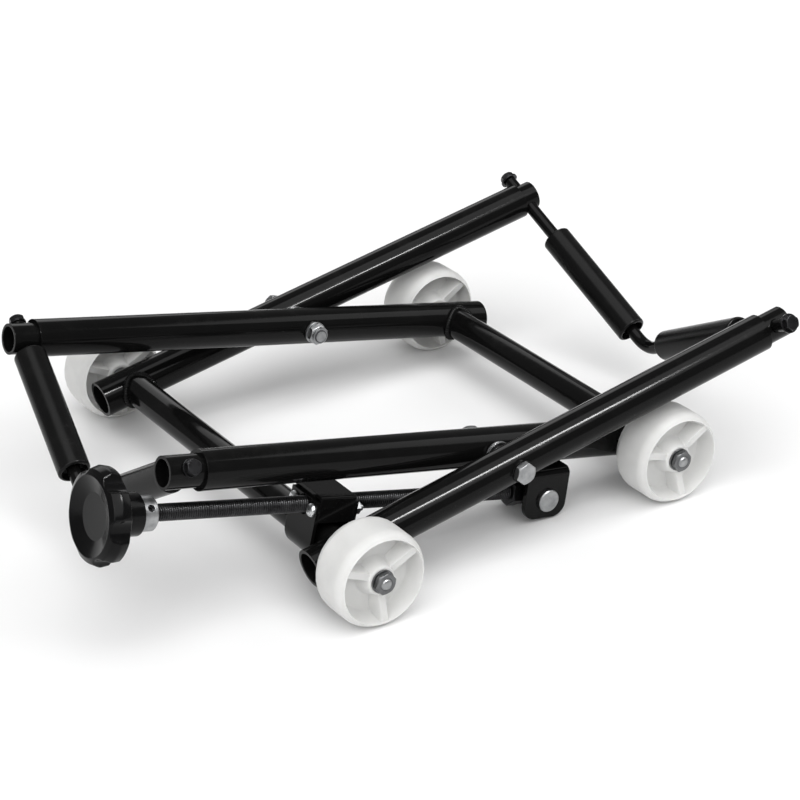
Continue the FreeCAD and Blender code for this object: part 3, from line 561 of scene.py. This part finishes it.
def face_columns(radius):
    """(angle, offset from the nearest rib) round one face. Columns keep close to the ribs' flanks."""
    columns = []
    for rib in range(RIBS):
        middle = FULL_TURN * rib / RIBS
        flank = [math.asin(min(RIB_STEEPEST, offset / radius)) for offset in RIB_OFFSETS]
        last = flank[-1]
        gap = FULL_TURN / RIBS - 2 * last
        columns += [(middle + angle, offset) for angle, offset in zip(flank, RIB_OFFSETS)]
        for step in range(1, OPEN_COLUMNS):
            columns.append((middle + last + gap * step / OPEN_COLUMNS, RIB_CLEAR))
        following = middle + FULL_TURN / RIBS
        pairs = list(zip(flank, RIB_OFFSETS))[:0:-1]
        columns += [(following - angle, offset) for angle, offset in pairs]
    return columns


def wheel_face(centre, axis, turn, side, start=0):
    """One dished face, from the bore to the lip."""
    first, second = axes_round(axis)
    radii = [WHEEL_BORE, *HUB_RINGS, HUB_RADIUS]
    for end in (HUB_RADIUS + HUB_FOOT, DISH_FLOOR_RADIUS, DISH_RADIUS):
        band = (end - radii[-1]) / DISH_BAND_STEPS
        radii += [radii[-1] + band * step for step in range(1, DISH_BAND_STEPS + 1)]
    verts = []
    for radius in radii:
        for angle, offset in face_columns(radius):
            height = dish_height(radius)
            if radius > HUB_RADIUS:
                height = max(height, rib_height(radius, offset))
            if radius == WHEEL_BORE:
                height = HUB_FACE - HUB_CHAMFER
            spoke = first * math.cos(angle + turn) + second * math.sin(angle + turn)
            verts.append(centre + axis * (side * height * MM) + spoke * (radius * MM))
    columns = len(verts) // len(radii)
    return verts, grid_faces(len(radii), columns, start)


def wheel_tread(centre, axis, turn, start=0):
    """The lip and the strongly rounded tread, with the same columns as the faces."""
    first, second = axes_round(axis)
    edge = (DISH_RADIUS, WHEEL_HALF_WIDTH - LIP_DROP)
    outline = [edge, (36.7, WHEEL_HALF_WIDTH), (37.0, 20.8), (37.25, 20.2)]
    middle = WHEEL_RADIUS - TREAD_ROUND
    for step in range(TREAD_ROUND_STEPS + 1):
        angle = math.radians(TREAD_ROUND_TURN * (1 - step / TREAD_ROUND_STEPS))
        height = TREAD_HALF_FLAT + TREAD_ROUND * math.sin(angle)
        outline.append((middle + TREAD_ROUND * math.cos(angle), height))
    outline += [(WHEEL_RADIUS, TREAD_HALF_FLAT / 2), (WHEEL_RADIUS, 0.0)]
    outline += [(radius, -height) for radius, height in reversed(outline[:-1])]
    verts = []
    for radius, height in outline:
        for angle, _ in face_columns(DISH_RADIUS):
            spoke = first * math.cos(angle + turn) + second * math.sin(angle + turn)
            verts.append(centre + axis * (height * MM) + spoke * (radius * MM))
    columns = len(verts) // len(outline)
    return verts, grid_faces(len(outline), columns, start)


def build_wheels():
    for end in ENDS:
        for name in SIDES:
            body = "wheel_" + end + "_" + name
            centre = joint_place(body + "_axle")
            first, second = axes_round(Y_AXIS)
            up_right = math.radians(RIB_TURN[end])
            wanted = X_AXIS * math.cos(up_right) + Z_AXIS * math.sin(up_right)
            turn = math.atan2(wanted.dot(second), wanted.dot(first))
            common = {"centre": centre, "axis": Y_AXIS, "turn": turn}
            parts = [(wheel_face, dict(common, side=side)) for side in (-1, 1)]
            parts.append((wheel_tread, common))
            wheel = new_piece(body + "_moulding", *joined(parts), sharp_degrees=50)
            dress(wheel, WHITE, "white_nylon", body, body)


# ------------------------------------------------------------------------------ axle studs
STUD_RADIUS = 5.0
STUD_PITCH = 1.5
STUD_THREAD_DEPTH = 0.85
STUD_START = 1.0 * MM         # how far inside the arm's inner side a stud ends


def build_studs():
    bodies = {"left": "left_axles", "right": "inner_frame"}
    for end in ENDS:
        _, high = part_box("axle_studs_" + end)
        parts = []
        for name, side in SIDES.items():
            centre = joint_place("wheel_" + end + "_" + name + "_axle")
            tip = Vector((centre.x, high.y * side, centre.z))
            arm_y = OUTER_ARM_Y if end == "left" else INNER_ARM_Y
            length = (high.y - (arm_y - TUBE_RADIUS + STUD_START)) / MM
            place = {"base": tip, "direction": Y_AXIS * -side, "length": length}
            size = {"radius": STUD_RADIUS, "pitch": STUD_PITCH, "depth": STUD_THREAD_DEPTH}
            parts.append((thread, dict(place, **size)))
        studs = new_piece("axle_studs_" + end + "_thread", *joined(parts), sharp_degrees=60)
        dress(studs, ZINC, "zinc_steel", bodies[end], "axle_studs_" + end)


# ------------------------------------------------------------------------------ welds
BEAD_RADIUS = 2.7
BEAD_RIPPLE = 0.5
BEAD_PITCH = 2.1              # from one ripple to the next
BEAD_SWELL = 0.18             # the slow change of width along the bead
BEAD_SWELL_RATE = 0.41        # radians per millimetre
BEAD_PROUD = 0.9 * MM         # the bead's middle stands off the arm
BEAD_OFF_TUBE = 0.5 * MM      # and off the cross tube
BEAD_SIDES = 10


def bead(points, start=0):
    """A closed weld bead along points (row frame), with the ripples of the puddle."""
    count = len(points)
    verts = []
    travelled = 0.0
    for index, point in enumerate(points):
        ahead = points[(index + 1) % count] - points[index - 1]
        first, second = axes_round(ahead.normalized())
        travelled += (point - points[index - 1]).length / MM
        phase = (travelled / BEAD_PITCH) % 1.0
        swell = BEAD_SWELL * math.sin(travelled * BEAD_SWELL_RATE)
        radius = BEAD_RADIUS + BEAD_RIPPLE * (1 - 2 * phase) + swell
        for step in range(BEAD_SIDES):
            angle = FULL_TURN * step / BEAD_SIDES
            spoke = first * math.cos(angle) + second * math.sin(angle)
            verts.append(point + spoke * (radius * MM))
    faces = grid_faces(count, BEAD_SIDES, start)
    last = start + (count - 1) * BEAD_SIDES
    for step in range(BEAD_SIDES):
        after = (step + 1) % BEAD_SIDES
        faces.append((last + step, last + after, start + after, start + step))
    return verts, faces


def saddle_line(axle, direction, arm_y, side, count=150):
    """Where a cross tube meets the inner side of an arm."""
    across = direction.cross(Y_AXIS)
    points = []
    for index in range(count):
        angle = FULL_TURN * index / count
        sunk = math.sqrt(TUBE_RADIUS ** 2 - (CROSS_RADIUS * math.sin(angle)) ** 2)
        spoke = direction * math.cos(angle) + across * math.sin(angle)
        inner = Y_AXIS * (side * (arm_y - sunk - BEAD_PROUD))
        points.append(Vector((axle.x, 0, axle.z)) + spoke * (CROSS_RADIUS + BEAD_OFF_TUBE) + inner)
    return points


def build_welds():
    """A bead at each end of the cross tubes, but for the end that the saddle sits tight against."""
    frames = {
        "outer_frame": (LEFT_AXLE, UP_OUTER, OUTER_ARM_Y),
        "inner_frame": (RIGHT_AXLE, UP_INNER, INNER_ARM_Y),
    }
    for body, (axle, direction, arm_y) in frames.items():
        for name, side in SIDES.items():
            if body == "outer_frame" and name == "front":
                continue
            verts, faces = bead(saddle_line(axle, direction, arm_y, side))
            weld = new_piece("weld_" + body + "_" + name, verts, faces, sharp_degrees=70)
            dress(weld, WELD, "black_paint", body)


# ------------------------------------------------------------------------------ floor, lights, camera
CAMERA_PLACE = Vector((-1.03855, -1.6689, 1.0274))
CAMERA_AIM = Vector((0.04649, 0.0, 0.0553))
CAMERA_LENS = 113.07
CAMERA_SENSOR = 36.0
FLOOR_SIZE = 14.0
WORLD_STRENGTH = 0.22


def build_floor():
    half = FLOOR_SIZE / 2
    corners = [(-half, -half, 0), (half, -half, 0), (half, half, 0), (-half, half, 0)]
    floor = new_piece("floor", corners, [(0, 1, 2, 3)])
    look = Finish("pale_floor")
    colour = look.mixed(look.noise(1.5, 3.0), (0.91, 0.91, 0.91), (0.94, 0.94, 0.94))
    rough = look.ramp(look.noise(6.0, 3.0), 0.2, 0.8, 0.70, 0.78)
    look.constant(Specular_IOR_Level=0.2)
    floor.data.materials.append(look.finish(colour, rough))


def add_light(name, kind, place, aim, energy, size):
    """A soft light; size is an area light's two sides in metres, or a sun's angle in degrees."""
    data = bpy.data.lights.new(name, kind)
    data.energy = energy
    if kind == "AREA":
        data.shape = "RECTANGLE"
        data.size, data.size_y = size
    else:
        data.angle = math.radians(size)
    light = bpy.data.objects.new(name, data)
    bpy.context.scene.collection.objects.link(light)
    light.location = place
    light.rotation_euler = (Vector(aim) - Vector(place)).to_track_quat("-Z", "Y").to_euler()
    return light


def build_lights():
    middle = (0.0, 0.0, 0.1)
    add_light("soft_sky", "SUN", (-0.5, -1.2, 2.6), middle, energy=2.6, size=75.0)
    add_light("left_fill", "AREA", (-2.4, -1.2, 1.4), middle, energy=16, size=(1.6, 1.6))
    add_light("right_fill", "AREA", (2.4, -0.6, 1.5), middle, energy=14, size=(1.4, 1.8))
    add_light("rear_fill", "AREA", (0.8, 2.6, 1.5), middle, energy=12, size=(2.0, 1.4))
    strip_place = (0.50, -1.32, 2.1)
    strip_aim = (0.50, 0.0, 0.1)
    strip = add_light("overhead_strip", "AREA", strip_place, strip_aim, energy=50, size=(0.86, 0.2))
    strip.visible_diffuse = False
    world = bpy.data.worlds.new("studio")
    world.use_nodes = True
    background = world.node_tree.nodes["Background"]
    background.inputs["Color"].default_value = (1.0, 1.0, 1.0, 1.0)
    background.inputs["Strength"].default_value = WORLD_STRENGTH
    bpy.context.scene.world = world


def build_camera():
    data = bpy.data.cameras.new("camera")
    data.lens = CAMERA_LENS
    data.sensor_width = CAMERA_SENSOR
    camera = bpy.data.objects.new("camera", data)
    bpy.context.scene.collection.objects.link(camera)
    camera.location = CAMERA_PLACE
    camera.rotation_euler = (CAMERA_AIM - CAMERA_PLACE).to_track_quat("-Z", "Y").to_euler()
    bpy.context.scene.camera = camera


build_lead_screw()
build_knob()
build_wheels()
build_studs()
build_welds()
build_floor()
build_lights()
build_camera()
bpy.context.scene.view_settings.view_transform = "Standard"
